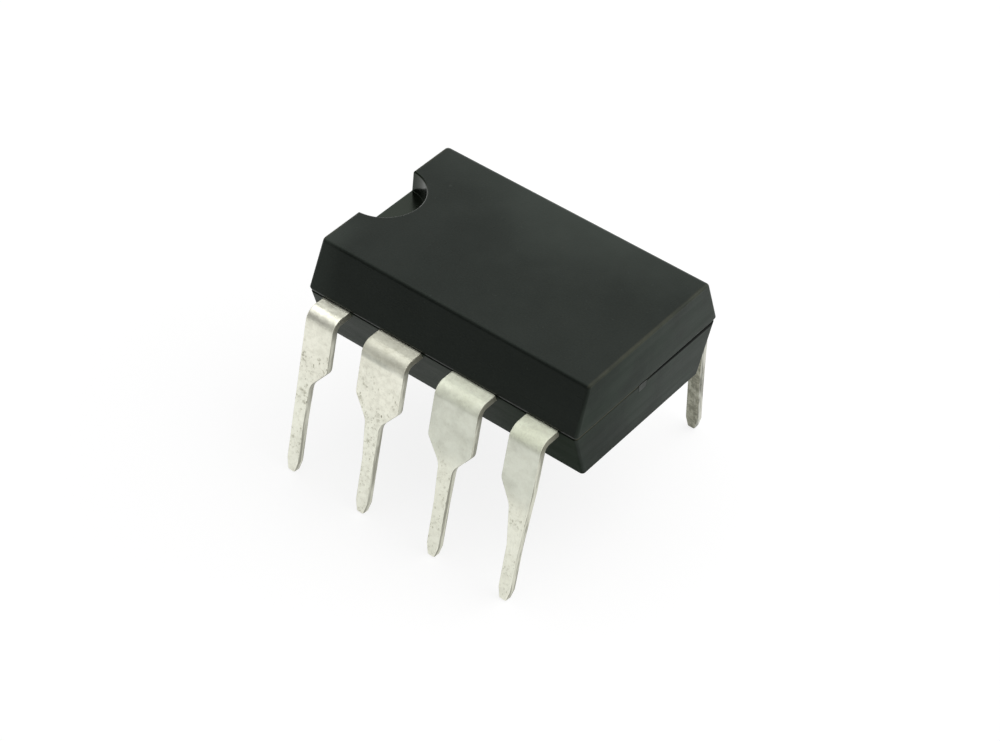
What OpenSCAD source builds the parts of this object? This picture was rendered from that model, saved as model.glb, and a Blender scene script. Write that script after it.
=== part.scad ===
// Eight-lead plastic dual in-line package: a moulded body around a stamped lead frame.
// +Z is up, +X runs along the body away from the notch, and z = 0 is the plane of the lead tips.

/* [Moulding] */
// Length of the body at its widest line
body_length = 9.24; // [9.1:0.02:9.8]
// Width of the body at its widest line
body_width = 6.44; // [6.2:0.02:6.7]
// Height of the upper half above the parting line
top_height = 1.59; // [1.45:0.01:1.75]
// Depth of the lower half under the parting line
bottom_height = 1.67; // [1.45:0.01:1.75]
// How far each long side leans in over the upper half
side_draft_top = 0.5; // [0.3:0.01:0.6]
// How far each long side leans in over the lower half
side_draft_bottom = 0.54; // [0.3:0.01:0.6]
// How far each end leans in over the upper half
end_draft_top = 0.07; // [0.03:0.01:0.15]
// How far each end leans in over the lower half
end_draft_bottom = 0.03; // [0.02:0.01:0.15]
// How far the lower half stands back from the upper one at the parting line
parting_step = 0.03; // [0.02:0.01:0.08]
// Height of the bevelled lip at the foot of the upper half
lip_height = 0.11; // [0.08:0.01:0.2]
// How far the lip's bevel runs in
lip_bevel = 0.05; // [0.02:0.01:0.08]
// Radius of the top edges along the sides
side_edge_radius = 0.16; // [0.06:0.01:0.2]
// Radius of the top edges across the ends
end_edge_radius = 0.07; // [0.04:0.01:0.12]
// Radius of the edges round the underside
underside_edge_radius = 0.06; // [0.03:0.01:0.1]

/* [Notch] */
// Radius of the half-round notch at the top face
notch_radius = 1.22; // [0.9:0.01:1.3]
// Depth of the notch under the top face
notch_depth = 0.71; // [0.5:0.01:0.85]
// How much narrower the notch is at its floor
notch_draft = 0.04; // [0.01:0.01:0.08]
// Width of the bevel round the notch's rim
notch_rim = 0.04; // [0.02:0.01:0.06]

/* [Ejector marks] */
// Radius of each round mark in the underside
mark_radius = 0.6; // [0.4:0.05:0.8]
// Depth of each mark
mark_depth = 0.05; // [0.03:0.01:0.1]
// Distance between the two marks
mark_spacing = 5.2; // [4.4:0.1:5.6]

/* [Leads] */
// Distance from lead to lead along a row
lead_pitch = 2.54; // [2.5:0.01:2.56]
// Straight stretch of a lead between the body's side and its bend
lead_standoff = 0.315; // [0.25:0.005:0.45]
// Thickness of the lead frame's strip
lead_thickness = 0.25; // [0.2:0.01:0.3]
// Inner radius of the bend
bend_radius = 0.15; // [0.1:0.01:0.2]
// How far each row still leans out before it is put in a board, in degrees
splay = 8; // [0:0.5:10]
// Height of the parting line over the lead tips
lead_drop = 5.58; // [5.3:0.02:5.9]
// Width of the two inner leads' shoulders
shoulder_width = 1.5; // [1.4:0.02:1.7]
// Width of the two end leads' shoulders
end_shoulder_width = 0.98; // [0.85:0.01:1.1]
// Drop from the parting line to the foot of the shoulders
shoulder_drop = 1.7; // [1.6:0.02:1.9]
// Drop from the parting line to where the narrow pin begins
pin_drop = 2.4; // [2.25:0.02:2.6]
// Width of the narrow pin
pin_width = 0.42; // [0.38:0.01:0.5]
// Width of the pin at its cut tip
tip_width = 0.24; // [0.15:0.01:0.28]
// Length of the taper at the tip
tip_taper = 0.38; // [0.3:0.02:0.5]
// Radius of the shoulders' outer corners
shoulder_corner = 0.3; // [0.1:0.02:0.4]
// Radius where the shoulder runs into the pin
pin_root = 0.6; // [0.2:0.02:0.7]
// How far the lead frame sits off the middle of the body, along X
frame_shift = -0.1; // [-0.2:0.01:0.1]

/* [Inside the body] */
// Length of the die pad
pad_length = 3.4; // [3:0.05:3.6]
// Width of the die pad
pad_width = 2.5; // [2.2:0.05:2.7]
// Width of the bars that carried the pad
tie_width = 0.36; // [0.3:0.02:0.44]
// How far the tie bars lie from the middle, towards leads 1 to 4
tie_offset = 0.2; // [0:0.02:0.25]
// Gap between the pad and the inner ends of the leads
pad_gap = 0.25; // [0.2:0.01:0.3]
// How far the shoulders' full width reaches into the body
root_reach = 0.75; // [0.6:0.05:0.85]
// Width of the inner leads' fingers
finger_width = 0.8; // [0.6:0.02:0.9]
// Width of the end leads' fingers
end_finger_width = 0.6; // [0.5:0.02:0.65]
// Length of the silicon die
die_length = 1.9; // [1.7:0.05:2.1]
// Width of the silicon die
die_width = 1.5; // [1.4:0.05:1.7]
// Thickness of the silicon die
die_thickness = 0.3; // [0.25:0.01:0.35]
// Thickness of the glue under the die
glue_thickness = 0.03; // [0.02:0.01:0.05]
// How far the glue spreads past the die
glue_spread = 0.08; // [0.05:0.01:0.12]

/* [Bond wires] */
// Diameter of a bond wire
wire_diameter = 0.04; // [0.03:0.005:0.05]
// Diameter of the ball on the die and of the stitch on the finger
bond_diameter = 0.1; // [0.09:0.01:0.12]
// Height of the ball and of the stitch
bond_height = 0.05; // [0.045:0.005:0.06]
// Straight rise of the wire over its ball
wire_rise = 0.1; // [0.08:0.01:0.15]
// Radius of the wire's bend
wire_bend = 0.12; // [0.1:0.01:0.15]
// How far the balls lie inside the die's edge
bond_inset = 0.13; // [0.1:0.01:0.16]

/* [Hidden] */
ROW_LEADS = 4;
LEADS = 2 * ROW_LEADS;
LEAD_NAMES = [for (n = [1 : LEADS]) str("lead_", n)];
WIRE_NAMES = [for (n = [1 : LEADS]) str("bond_wire_", n)];

$fn = 64;
// Straight pieces in each rounded corner of an outline
corner_steps = 5;
// Extra reach of a cut past the surface that it opens
over = 0.5;

plastic_color = "#2d312f";
tin_color = "#cbcabf";
copper_color = "#b98052";
glue_color = "#9b9c9a";
silicon_color = "#4b4f5a";
gold_color = "#d9ae45";

// The parting line is level with the upper face of the lead frame
parting_z = lead_drop;
half_length = body_length / 2;
half_width = body_width / 2;

bend_y = half_width + lead_standoff;
bend_drop = lead_thickness + bend_radius;
leg_length = leg_reach(lead_drop, bend_radius);
inner_lead_x = -lead_pitch / 2;
end_lead_x = inner_lead_x - lead_pitch;
root_y = half_width - parting_step - root_reach;
finger_tip_y = pad_width / 2 + pad_gap;
finger_tip_x = pad_length / 2 + pad_gap;
die_top = glue_thickness + die_thickness;

// Distance along a splayed leg, from the end of its bend, to a point of the leg that lies
// drop below the frame's upper face and radius away from the centre of the bend
function leg_reach(drop, radius) = (drop - bend_drop + radius * sin(splay)) / cos(splay);
function mid_reach(drop) = leg_reach(drop, bend_radius + lead_thickness / 2);

// Which place a lead has in its row, counted from the notched end
function column(n) = n <= ROW_LEADS ? n : LEADS + 1 - n;
function is_end_lead(n) = column(n) == 1 || column(n) == ROW_LEADS;

// Points of the arc that rounds the corner b between a and c
function corner_arc(a, b, c, radius) =
    let (
        u = (a - b) / norm(a - b),
        v = (c - b) / norm(c - b),
        half = acos(u * v) / 2,
        middle = b + (u + v) / norm(u + v) * radius / sin(half),
        from = b + u * radius / tan(half) - middle,
        turn = sign(cross(from, b - middle)) * (180 - 2 * half)
    )
    [for (i = [0 : corner_steps])
        let (t = turn * i / corner_steps)
        middle + [from.x * cos(t) - from.y * sin(t), from.x * sin(t) + from.y * cos(t)]];

// An outline with each corner rounded to its own radius, 0 for a sharp one
function rounded(points, radii) = [
    for (i = [0 : len(points) - 1])
        let (
            before = points[(i + len(points) - 1) % len(points)],
            after = points[(i + 1) % len(points)],
            arc = radii[i] > 0 ? corner_arc(before, points[i], after, radii[i]) : [points[i]]
        )
        each arc
];

// Half-section of the upper half, from its foot up over the lip to the rounded top edge
function upper_profile(half, draft, radius) = rounded(
    [
        [lip_bevel - half, 0],
        [-half, lip_height],
        [draft - half, top_height],
        [half - draft, top_height],
        [half, lip_height],
        [half - lip_bevel, 0]
    ],
    [0, 0, radius, radius, 0, 0]
);

function lower_profile(half, draft) = rounded(
    [
        [parting_step - half, 0],
        [half - parting_step, 0],
        [half - parting_step - draft, -bottom_height],
        [parting_step + draft - half, -bottom_height]
    ],
    [0, 0, underside_edge_radius, underside_edge_radius]
);

// An outline in Y and Z that runs the whole length of the body
module along_x(points) {
    rotate([90, 0, 90])
        linear_extrude(body_length, center = true)
            polygon(points);
}

// An outline in X and Z that runs the whole width of the body
module along_y(points) {
    rotate([90, 0, 0])
        linear_extrude(body_width, center = true)
            polygon(points);
}

module upper_half() {
    intersection() {
        along_x(upper_profile(half_width, side_draft_top, side_edge_radius));
        along_y(upper_profile(half_length, end_draft_top, end_edge_radius));
    }
}

module lower_half() {
    intersection() {
        along_x(lower_profile(half_width, side_draft_bottom));
        along_y(lower_profile(half_length, end_draft_bottom));
    }
}

module moulding() {
    union() {
        upper_half();
        lower_half();
    }
}

module notch() {
    translate([-half_length, 0, top_height - notch_depth])
        cylinder(h = notch_depth + over, r1 = notch_radius - notch_draft, r2 = notch_radius);
    translate([-half_length, 0, top_height - notch_rim])
        cylinder(h = 2 * notch_rim, r1 = notch_radius - notch_rim, r2 = notch_radius + notch_rim);
}

module ejector_marks() {
    for (side = [-1, 1])
        translate([side * mark_spacing / 2, 0, -bottom_height - over])
            cylinder(h = over + mark_depth, r = mark_radius);
}

// Places the lead or finger of the notch's near corner at lead n
module at_lead(n) {
    translate([frame_shift, 0, 0])
        mirror([column(n) > ROW_LEADS / 2 ? 1 : 0, 0, 0])
            mirror([0, n > ROW_LEADS ? 1 : 0, 0])
                children();
}

// A flat piece of the lead frame, under the parting line
module strip() {
    translate([0, 0, -lead_thickness])
        linear_extrude(lead_thickness)
            children();
}

module span(x0, y0, x1, y1) {
    translate([x0, y0])
        square([x1 - x0, y1 - y0]);
}

module inner_finger() {
    half_shoulder = shoulder_width / 2;
    half_finger = finger_width / 2;
    strip() {
        span(inner_lead_x - half_shoulder, -bend_y, inner_lead_x + half_shoulder, -root_y);
        span(inner_lead_x - half_finger, -root_y - over, inner_lead_x + half_finger, -finger_tip_y);
    }
}

module end_finger() {
    outer_x = end_lead_x - pin_width / 2;
    inner_x = outer_x + end_shoulder_width;
    branch_y = -pad_width / 2;
    strip() {
        span(outer_x, -bend_y, inner_x, -root_y);
        span(inner_x - end_finger_width, -root_y - over, inner_x, branch_y + end_finger_width);
        span(inner_x - end_finger_width, branch_y, -finger_tip_x, branch_y + end_finger_width);
    }
}

module finger(n) {
    if (is_end_lead(n)) end_finger();
    else inner_finger();
}

// Places its children at the middle of the bend, leaning out by the splay
module leaning() {
    translate([0, -bend_y, -bend_drop])
        rotate([-splay, 0, 0])
            children();
}

// A quarter bend that is cut off where the leaning leg begins
module bend(x0, width) {
    difference() {
        translate([x0, -bend_y, -bend_drop])
            rotate([0, 90, 0])
                rotate([0, 0, 180])
                    rotate_extrude(angle = 90)
                        translate([bend_radius, 0])
                            square([lead_thickness, width]);
        leaning()
            translate([x0 - over, -bend_drop - over, -bend_drop])
                cube([width + 2 * over, bend_drop + over, bend_drop]);
    }
}

// Hangs a flat outline from the end of the bend
module leg() {
    leaning()
        translate([0, -bend_radius, 0])
            rotate([90, 0, 0])
                linear_extrude(lead_thickness)
                    children();
}

// Half of a leg's outline, right of the pin's middle line, with the radius of each corner
function leg_side(shoulder) = [
    [[shoulder, 0], 0],
    [[shoulder, -mid_reach(shoulder_drop)], shoulder_corner],
    [[pin_width / 2, -mid_reach(pin_drop)], pin_root],
    [[pin_width / 2, tip_taper - leg_length], 0],
    [[tip_width / 2, -leg_length], 0]
];

// The straight outer side of an end lead
function straight_side() = [
    [[pin_width / 2, 0], 0],
    [[pin_width / 2, tip_taper - leg_length], 0],
    [[tip_width / 2, -leg_length], 0]
];

function reversed(list) = [for (i = [len(list) - 1 : -1 : 0]) list[i]];
function mirrored(side) = [for (entry = reversed(side)) [[-entry[0].x, entry[0].y], entry[1]]];

module leg_outline(x, right, left) {
    entries = concat(right, mirrored(left));
    translate([x, 0])
        polygon(rounded([for (entry = entries) entry[0]], [for (entry = entries) entry[1]]));
}

module inner_lead() {
    side = leg_side(shoulder_width / 2);
    inner_finger();
    bend(inner_lead_x - shoulder_width / 2, shoulder_width);
    leg()
        leg_outline(inner_lead_x, side, side);
}

module end_lead() {
    end_finger();
    bend(end_lead_x - pin_width / 2, end_shoulder_width);
    leg()
        leg_outline(end_lead_x, leg_side(end_shoulder_width - pin_width / 2), straight_side());
}

module lead(n) {
    color(tin_color)
        translate([0, 0, parting_z])
            at_lead(n) {
                if (is_end_lead(n)) end_lead();
                else inner_lead();
            }
}

// The pad's strip, with tie bars that run past both ends of the body
module pad_strip() {
    bar_length = body_length + 2 * over;
    translate([frame_shift, 0, 0])
        strip() {
            square([pad_length, pad_width], center = true);
            translate([0, -tie_offset])
                square([bar_length, tie_width], center = true);
        }
}

module die_pad() {
    color(copper_color)
        translate([0, 0, parting_z])
            intersection() {
                pad_strip();
                moulding();
            }
}

// A block centred on the die pad, standing from one height over the pad to another
module on_pad(length, width, bottom, top) {
    translate([frame_shift - length / 2, -width / 2, bottom])
        cube([length, width, top - bottom]);
}

module glue_block() {
    on_pad(die_length + 2 * glue_spread, die_width + 2 * glue_spread, 0, glue_thickness);
}

module die_block() {
    on_pad(die_length, die_width, glue_thickness, die_top);
}

module die_attach() {
    color(glue_color)
        translate([0, 0, parting_z])
            glue_block();
}

module silicon_die() {
    color(silicon_color)
        translate([0, 0, parting_z])
            die_block();
}

// A wire in the plane of X and Z: it rises over its ball at the origin, bends over and runs
// down to its stitch, reach away and fall below the ball's seat
module wire_in_plane(reach, fall) {
    $fn = 24;
    wire_radius = wire_diameter / 2;
    bond_radius = bond_diameter / 2;
    bend_z = bond_height + wire_rise;
    stitch_z = bond_height / 2 - fall;
    across = reach - wire_bend;
    down = bend_z - stitch_z;
    chord = norm([across, down]);
    // A whole number of hundredths of a degree, so that the stretches meet exactly
    slope = round(100 * (atan2(down, across) + asin(wire_bend / chord))) / 100;
    run = sqrt(chord * chord - wire_bend * wire_bend);
    cylinder(h = bond_height, r = bond_radius);
    translate([0, 0, bond_height / 2])
        cylinder(h = bend_z - bond_height / 2, r = wire_radius);
    translate([wire_bend, 0, bend_z])
        rotate([90, 0, 0]) {
            rotate([0, 0, 90 - slope])
                rotate_extrude(angle = 90 + slope)
                    translate([wire_bend, 0])
                        circle(wire_radius);
            rotate([0, 0, 90 - slope])
                translate([wire_bend, 0, 0])
                    rotate([90, 0, 0])
                        cylinder(h = run, r = wire_radius);
        }
    translate([reach, 0, -fall])
        cylinder(h = bond_height, r = bond_radius);
}

// From a ball near the die's edge to a stitch near the finger's tip
module wire(n) {
    to_lead = [column(n) > ROW_LEADS / 2 ? 1 : -1, n > ROW_LEADS ? 1 : -1];
    ball = is_end_lead(n)
        ? [die_length / 2 - bond_inset, die_width / 4]
        : [die_length / 4, die_width / 2 - bond_inset];
    stitch = is_end_lead(n)
        ? [finger_tip_x + end_finger_width / 2, pad_width / 2 - end_finger_width / 2]
        : [-inner_lead_x, finger_tip_y + finger_width / 4];
    way = stitch - ball;
    translate([frame_shift + to_lead.x * ball.x, to_lead.y * ball.y, die_top])
        rotate([0, 0, atan2(to_lead.y * way.y, to_lead.x * way.x)])
            wire_in_plane(norm(way), die_top);
}

module bond_wire(n) {
    color(gold_color)
        translate([0, 0, parting_z])
            wire(n);
}

module package_body() {
    color(plastic_color)
        translate([0, 0, parting_z])
            difference() {
                moulding();
                notch();
                ejector_marks();
                pad_strip();
                glue_block();
                die_block();
                for (n = [1 : LEADS])
                    at_lead(n)
                        finger(n);
                for (n = [1 : LEADS])
                    wire(n);
            }
}

package_body();
for (n = [1 : LEADS])
    lead(n);
die_pad();
die_attach();
silicon_die();
for (n = [1 : LEADS])
    bond_wire(n);
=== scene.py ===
"""Dresses the eight-lead plastic dual in-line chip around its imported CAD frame.

Lengths in the classes are millimetres. Meshes are built in millimetres and brought to metres
when their piece is finished.
"""

import logging
import math
from dataclasses import dataclass, field
from enum import Enum
from typing import Any

import bmesh
import bpy
from mathutils import Matrix, Vector


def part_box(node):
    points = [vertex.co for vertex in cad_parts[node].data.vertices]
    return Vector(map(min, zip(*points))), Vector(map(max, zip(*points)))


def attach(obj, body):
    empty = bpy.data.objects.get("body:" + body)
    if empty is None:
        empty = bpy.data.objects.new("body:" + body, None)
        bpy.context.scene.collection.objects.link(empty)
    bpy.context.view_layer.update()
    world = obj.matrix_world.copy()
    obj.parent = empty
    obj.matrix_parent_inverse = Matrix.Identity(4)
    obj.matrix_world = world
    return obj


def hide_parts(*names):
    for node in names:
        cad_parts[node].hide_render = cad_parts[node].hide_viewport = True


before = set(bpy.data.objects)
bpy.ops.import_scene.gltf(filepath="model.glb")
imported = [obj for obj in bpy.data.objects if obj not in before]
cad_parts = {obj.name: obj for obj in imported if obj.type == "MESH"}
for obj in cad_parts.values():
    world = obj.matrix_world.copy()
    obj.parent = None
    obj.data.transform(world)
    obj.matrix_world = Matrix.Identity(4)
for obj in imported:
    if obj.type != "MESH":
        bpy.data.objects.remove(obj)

log = logging.getLogger("chip")

MM = 0.001
BODY = "root"
ROW_LEADS = 4

Colour = tuple[float, float, float]
Point = tuple[float, float]


def rgba(colour: Colour) -> tuple[float, float, float, float]:
    """The colour with full opacity."""
    return (*colour, 1.0)


def box_mm(node: str) -> tuple[Vector, Vector]:
    """A CAD node's lowest and highest corner in millimetres."""
    low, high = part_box(node)
    return low / MM, high / MM


class Graph:
    """A node tree under construction, for finishes and Geometry Nodes alike."""

    def __init__(self, tree: bpy.types.NodeTree) -> None:
        """Starts from an empty tree."""
        self.tree = tree
        tree.nodes.clear()

    def add(self, kind: str, inputs: dict[str | int, Any] | None = None, **settings: Any) -> bpy.types.Node:
        """Adds a node.

        Args:
            kind: The node's type name.
            inputs: What goes into each socket, by its name or number: a value or another node's output.
            settings: The node's own options.

        Returns:
            The new node.
        """
        node = self.tree.nodes.new(kind)
        for name, value in settings.items():
            setattr(node, name, value)
        for key, value in (inputs or {}).items():
            if isinstance(value, bpy.types.NodeSocket):
                self.tree.links.new(value, node.inputs[key])
            else:
                node.inputs[key].default_value = value
        return node

    def math(self, operation: str, *values: Any) -> bpy.types.NodeSocket:
        """The result of a Math node.

        Args:
            operation: The node's operation.
            values: Numbers or outputs, in the order of the node's sockets.

        Returns:
            The node's output.
        """
        return self.add("ShaderNodeMath", dict(enumerate(values)), operation=operation).outputs[0]

    def vector(self, operation: str, values: dict[str | int, Any]) -> bpy.types.NodeSocket:
        """The vector that comes out of a Vector Math node."""
        return self.add("ShaderNodeVectorMath", values, operation=operation).outputs[0]


class FinishGraph(Graph):
    """A material's node tree, with patterns that read the piece's own place in millimetres."""

    def __init__(self, name: str) -> None:
        """Makes the material and its shader.

        Args:
            name: The material's name.
        """
        self.material = bpy.data.materials.new(name)
        self.material.use_nodes = True
        super().__init__(self.material.node_tree)
        place = self.add("ShaderNodeTexCoord").outputs["Object"]
        self.place = self.vector("SCALE", {0: place, "Scale": 1 / MM})
        self.shader = self.add("ShaderNodeBsdfPrincipled")
        self.add("ShaderNodeOutputMaterial", {"Surface": self.shader.outputs[0]})

    def product(self, *factors: Any) -> bpy.types.NodeSocket:
        """Numbers or outputs multiplied with each other.

        Args:
            factors: Two or more of them.

        Returns:
            Their product.
        """
        result = factors[0]
        for factor in factors[1:]:
            result = self.math("MULTIPLY", result, factor)
        return result

    def stretched(
        self, scale: tuple[float, float, float], place: bpy.types.NodeSocket | None = None, lean: float = 0.0
    ) -> bpy.types.NodeSocket:
        """A place with each direction scaled on its own.

        Args:
            scale: The scale along X, Y and Z.
            place: What is scaled, or None for the plain place.
            lean: Turn about X in radians.

        Returns:
            The mapped vector.
        """
        inputs = {"Vector": place or self.place, "Rotation": (lean, 0, 0), "Scale": scale}
        return self.add("ShaderNodeMapping", inputs).outputs[0]

    def noise(
        self,
        scale: float,
        detail: float = 2.0,
        roughness: float = 0.5,
        vector: bpy.types.NodeSocket | None = None,
    ) -> bpy.types.NodeSocket:
        """Noise between about 0.3 and 0.7.

        Args:
            scale: Waves per millimetre.
            detail: Octaves.
            roughness: How strong the finer octaves are.
            vector: Where it is read, or None for the plain place.

        Returns:
            The noise's height.
        """
        return self.add(
            "ShaderNodeTexNoise",
            {"Vector": vector or self.place, "Scale": scale, "Detail": detail, "Roughness": roughness},
        ).outputs[0]

    def ramp(
        self, value: bpy.types.NodeSocket, start: float, end: float, low: float = 0.0, high: float = 1.0
    ) -> bpy.types.NodeSocket:
        """A value brought smoothly from one range to another, and held past both ends.

        Args:
            value: The output that is read.
            start: Where the result is low.
            end: Where the result is high.
            low: The result at the start.
            high: The result at the end.

        Returns:
            The result.
        """
        return self.add(
            "ShaderNodeMapRange",
            {"Value": value, "From Min": start, "From Max": end, "To Min": low, "To Max": high},
            interpolation_type="SMOOTHSTEP",
        ).outputs[0]

    def mix(self, share: Any, first: Any, second: Any) -> bpy.types.NodeSocket:
        """Two colours mixed.

        Args:
            share: How much of the second shows, a number or an output.
            first: A colour or an output.
            second: A colour or an output.

        Returns:
            The mixed colour.
        """
        sides = [
            side if isinstance(side, bpy.types.NodeSocket) else rgba(side) for side in (first, second)
        ]
        return self.add("ShaderNodeMix", {0: share, 6: sides[0], 7: sides[1]}, data_type="RGBA").outputs[2]

    def bump(
        self, height: bpy.types.NodeSocket, depth: float, below: bpy.types.NodeSocket | None = None
    ) -> bpy.types.NodeSocket:
        """A bump's normal.

        Args:
            height: The height, from 0 to 1.
            depth: How deep a full step is, in millimetres.
            below: The normal of a coarser bump under it, or None.

        Returns:
            The normal.
        """
        inputs = {"Height": height, "Distance": depth * MM, "Strength": 1.0}
        if below is not None:
            inputs["Normal"] = below
        return self.add("ShaderNodeBump", inputs).outputs[0]

    def shade(self, **inputs: Any) -> bpy.types.Material:
        """Sets the shader's sockets.

        Args:
            inputs: Values or outputs by socket name, with underscores for its spaces.

        Returns:
            The finished material.
        """
        for name, value in inputs.items():
            socket = self.shader.inputs[name.replace("_", " ")]
            if isinstance(value, bpy.types.NodeSocket):
                self.tree.links.new(value, socket)
            else:
                socket.default_value = value
        return self.material


@dataclass(frozen=True)
class MouldSurface:
    """Where a point of the moulding is, and the patterns that its finish reads there."""

    along: bpy.types.NodeSocket
    across: bpy.types.NodeSocket
    over: bpy.types.NodeSocket
    at_end: bpy.types.NodeSocket
    cloud: bpy.types.NodeSocket
    streak: bpy.types.NodeSocket
    grain: bpy.types.NodeSocket


@dataclass(frozen=True)
class MouldingCompound:
    """Fine black epoxy with a satin gloss, slightly green-grey, with mould streaks down its sides.

    Places are measured from the body's middle and heights from the parting line.
    """

    name: str = "moulding_compound"
    dark: Colour = (0.0122, 0.0152, 0.0127)
    light: Colour = (0.0165, 0.0200, 0.0170)
    # Pale haze for random flecks and grain, also the colour of the painted sheen on the top and the painted
    # highlight on the ends' lip.
    haze_and_sheen: Colour = (0.046, 0.055, 0.047)
    # Painted light: the end faces are painted lighter and greener with this.
    lit_end_tone: Colour = (0.028, 0.040, 0.030)
    low_tint: Colour = (0.024, 0.040, 0.024)
    # Painted highlight on the front of the ends' seam and along their top edges.
    warm_highlight: Colour = (0.085, 0.082, 0.054)
    # Painted shadow in the groove under the parting line.
    groove_shadow: Colour = (0.0015, 0.0018, 0.0015)
    tint: Colour = (0.86, 1.0, 0.88)
    gloss: float = 0.145
    roughness: float = 0.27
    roughness_spread: float = 0.08
    grain_depth: float = 0.0035
    swell_depth: float = 0.012
    # Strength of the haze and painted sheen, of the painted top edge highlight and of the low tint.
    haze_and_sheen_level: float = 1.0
    sheen_middle: float = 0.2
    corner_sheen: float = 0.7
    low_tinted: float = 0.7
    dulling: float = 1.0
    groove_dulling: float = 0.4
    groove_opening: float = 0.07
    seam_closed: float = 0.85
    end_face: float = 4.5
    end_blend: float = 0.06
    edge_height: float = 1.49
    edge_x: float = 4.44
    edge_blend: float = 0.06
    side_lean: float = 0.32
    corner_y: float = 3.08
    corner_blend: float = 0.09

    def surface(self, graph: FinishGraph, parting: float) -> MouldSurface:
        """Reads the place and the patterns.

        Args:
            graph: The finish's tree.
            parting: Height of the parting line.

        Returns:
            The outputs that the parts of the finish share.
        """
        place = graph.add("ShaderNodeSeparateXYZ", {0: graph.place}).outputs
        outwards = graph.math("ABSOLUTE", place[0])
        return MouldSurface(
            along=place[0],
            across=place[1],
            over=graph.math("SUBTRACT", place[2], parting),
            at_end=graph.ramp(outwards, self.end_face, self.end_face + self.end_blend),
            cloud=graph.noise(0.55, 4.0, 0.6),
            streak=graph.noise(1.0, 3.0, 0.6, graph.stretched((0.4, 0.28, 4.6))),
            grain=graph.noise(17.0, 4.0, 0.62),
        )

    def haze_and_painted_sheen(self, graph: FinishGraph, at: MouldSurface) -> bpy.types.NodeSocket:
        """Random haze and a painted sheen for the light reflected across the top: most at the back, the
        middle and one front corner.

        Args:
            graph: The finish's tree.
            at: The point.

        Returns:
            The share of bloom, from 0 to the finish's haze.
        """
        from_middle = graph.math("ABSOLUTE", graph.math("SUBTRACT", at.along, self.sheen_middle))
        backwards = graph.math("MULTIPLY_ADD", at.across, 0.21, -0.02)
        spread = graph.math("MULTIPLY_ADD", from_middle, -0.07, backwards)
        wide = graph.ramp(graph.math("MULTIPLY_ADD", at.cloud, 0.4, spread), 0.0, 1.0, 0.0, self.haze_and_sheen_level)
        corner = graph.product(graph.ramp(at.along, -3.6, -4.5), graph.ramp(at.across, -0.8, -2.6))
        return graph.math("MAXIMUM", wide, graph.product(corner, self.corner_sheen * self.haze_and_sheen_level))

    def faces(self, graph: FinishGraph, at: MouldSurface) -> bpy.types.NodeSocket:
        """The colour of the faces, with the painted sheen on the top and the ends painted lighter, before the
        painted highlights and the painted groove shade.

        Args:
            graph: The finish's tree.
            at: The point.

        Returns:
            The colour.
        """
        patches = graph.math("MULTIPLY_ADD", at.streak, 0.45, graph.product(at.cloud, 0.55))
        tone = graph.mix(graph.ramp(patches, 0.36, 0.64), self.dark, self.light)
        tone = graph.mix(self.haze_and_painted_sheen(graph, at), tone, self.haze_and_sheen)
        flecks = graph.ramp(graph.noise(7.0, 2.0), 0.70, 0.78, 0.0, 0.35)
        tone = graph.mix(flecks, tone, self.haze_and_sheen)
        tone = graph.mix(graph.ramp(at.grain, 0.3, 0.7, 0.0, 0.1), tone, self.haze_and_sheen)
        # Painted light: the ends are painted lighter and greener in cloudy patches, for the light that falls
        # on them.
        end_lit_share = graph.product(at.at_end, graph.ramp(at.cloud, 0.35, 0.65, 0.2, 0.75))
        return graph.mix(end_lit_share, tone, self.lit_end_tone)

    def lip_highlight_and_corners(
        self, graph: FinishGraph, at: MouldSurface, tone: bpy.types.NodeSocket
    ) -> bpy.types.NodeSocket:
        """Adds a streaky painted highlight in a band along the lip over the ends' parting line, and the ends'
        worn corners.

        Args:
            graph: The finish's tree.
            at: The point.
            tone: The colour so far.

        Returns:
            The colour with them.
        """
        band = graph.product(graph.ramp(at.over, -0.01, 0.05), graph.ramp(at.over, 0.32, 0.12), at.at_end)
        streaky = graph.ramp(at.streak, 0.35, 0.6, 0.25, 0.75)
        tone = graph.mix(graph.product(band, streaky), tone, self.haze_and_sheen)
        lean = graph.product(graph.math("ABSOLUTE", at.over), self.side_lean)
        corner = graph.math("ADD", graph.math("ABSOLUTE", at.across), lean)
        at_corner = graph.ramp(corner, self.corner_y, self.corner_y + self.corner_blend)
        paled = graph.product(at_corner, at.at_end, graph.ramp(at.cloud, 0.4, 0.6, 0.15, 0.6))
        return graph.mix(paled, tone, self.haze_and_sheen)

    def groove_shade(
        self, graph: FinishGraph, at: MouldSurface, closed: bpy.types.NodeSocket
    ) -> bpy.types.NodeSocket:
        """Painted shade in the groove under the parting line, in a band that widens where the seam opens
        towards the back of the ends.

        Args:
            graph: The finish's tree.
            at: The point.
            closed: How far the seam is closed there.

        Returns:
            How much painted shade a point gets, from 0 to 1.
        """
        opened = graph.product(graph.ramp(at.across, -2.2, 3.0, 0.0, self.groove_opening), at.at_end)
        opening = graph.math("ADD", at.over, opened)
        groove_shade = graph.product(graph.ramp(opening, -0.05, -0.01), graph.ramp(at.over, 0.03, 0.005))
        return graph.product(groove_shade, graph.math("SUBTRACT", 1.0, closed))

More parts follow.
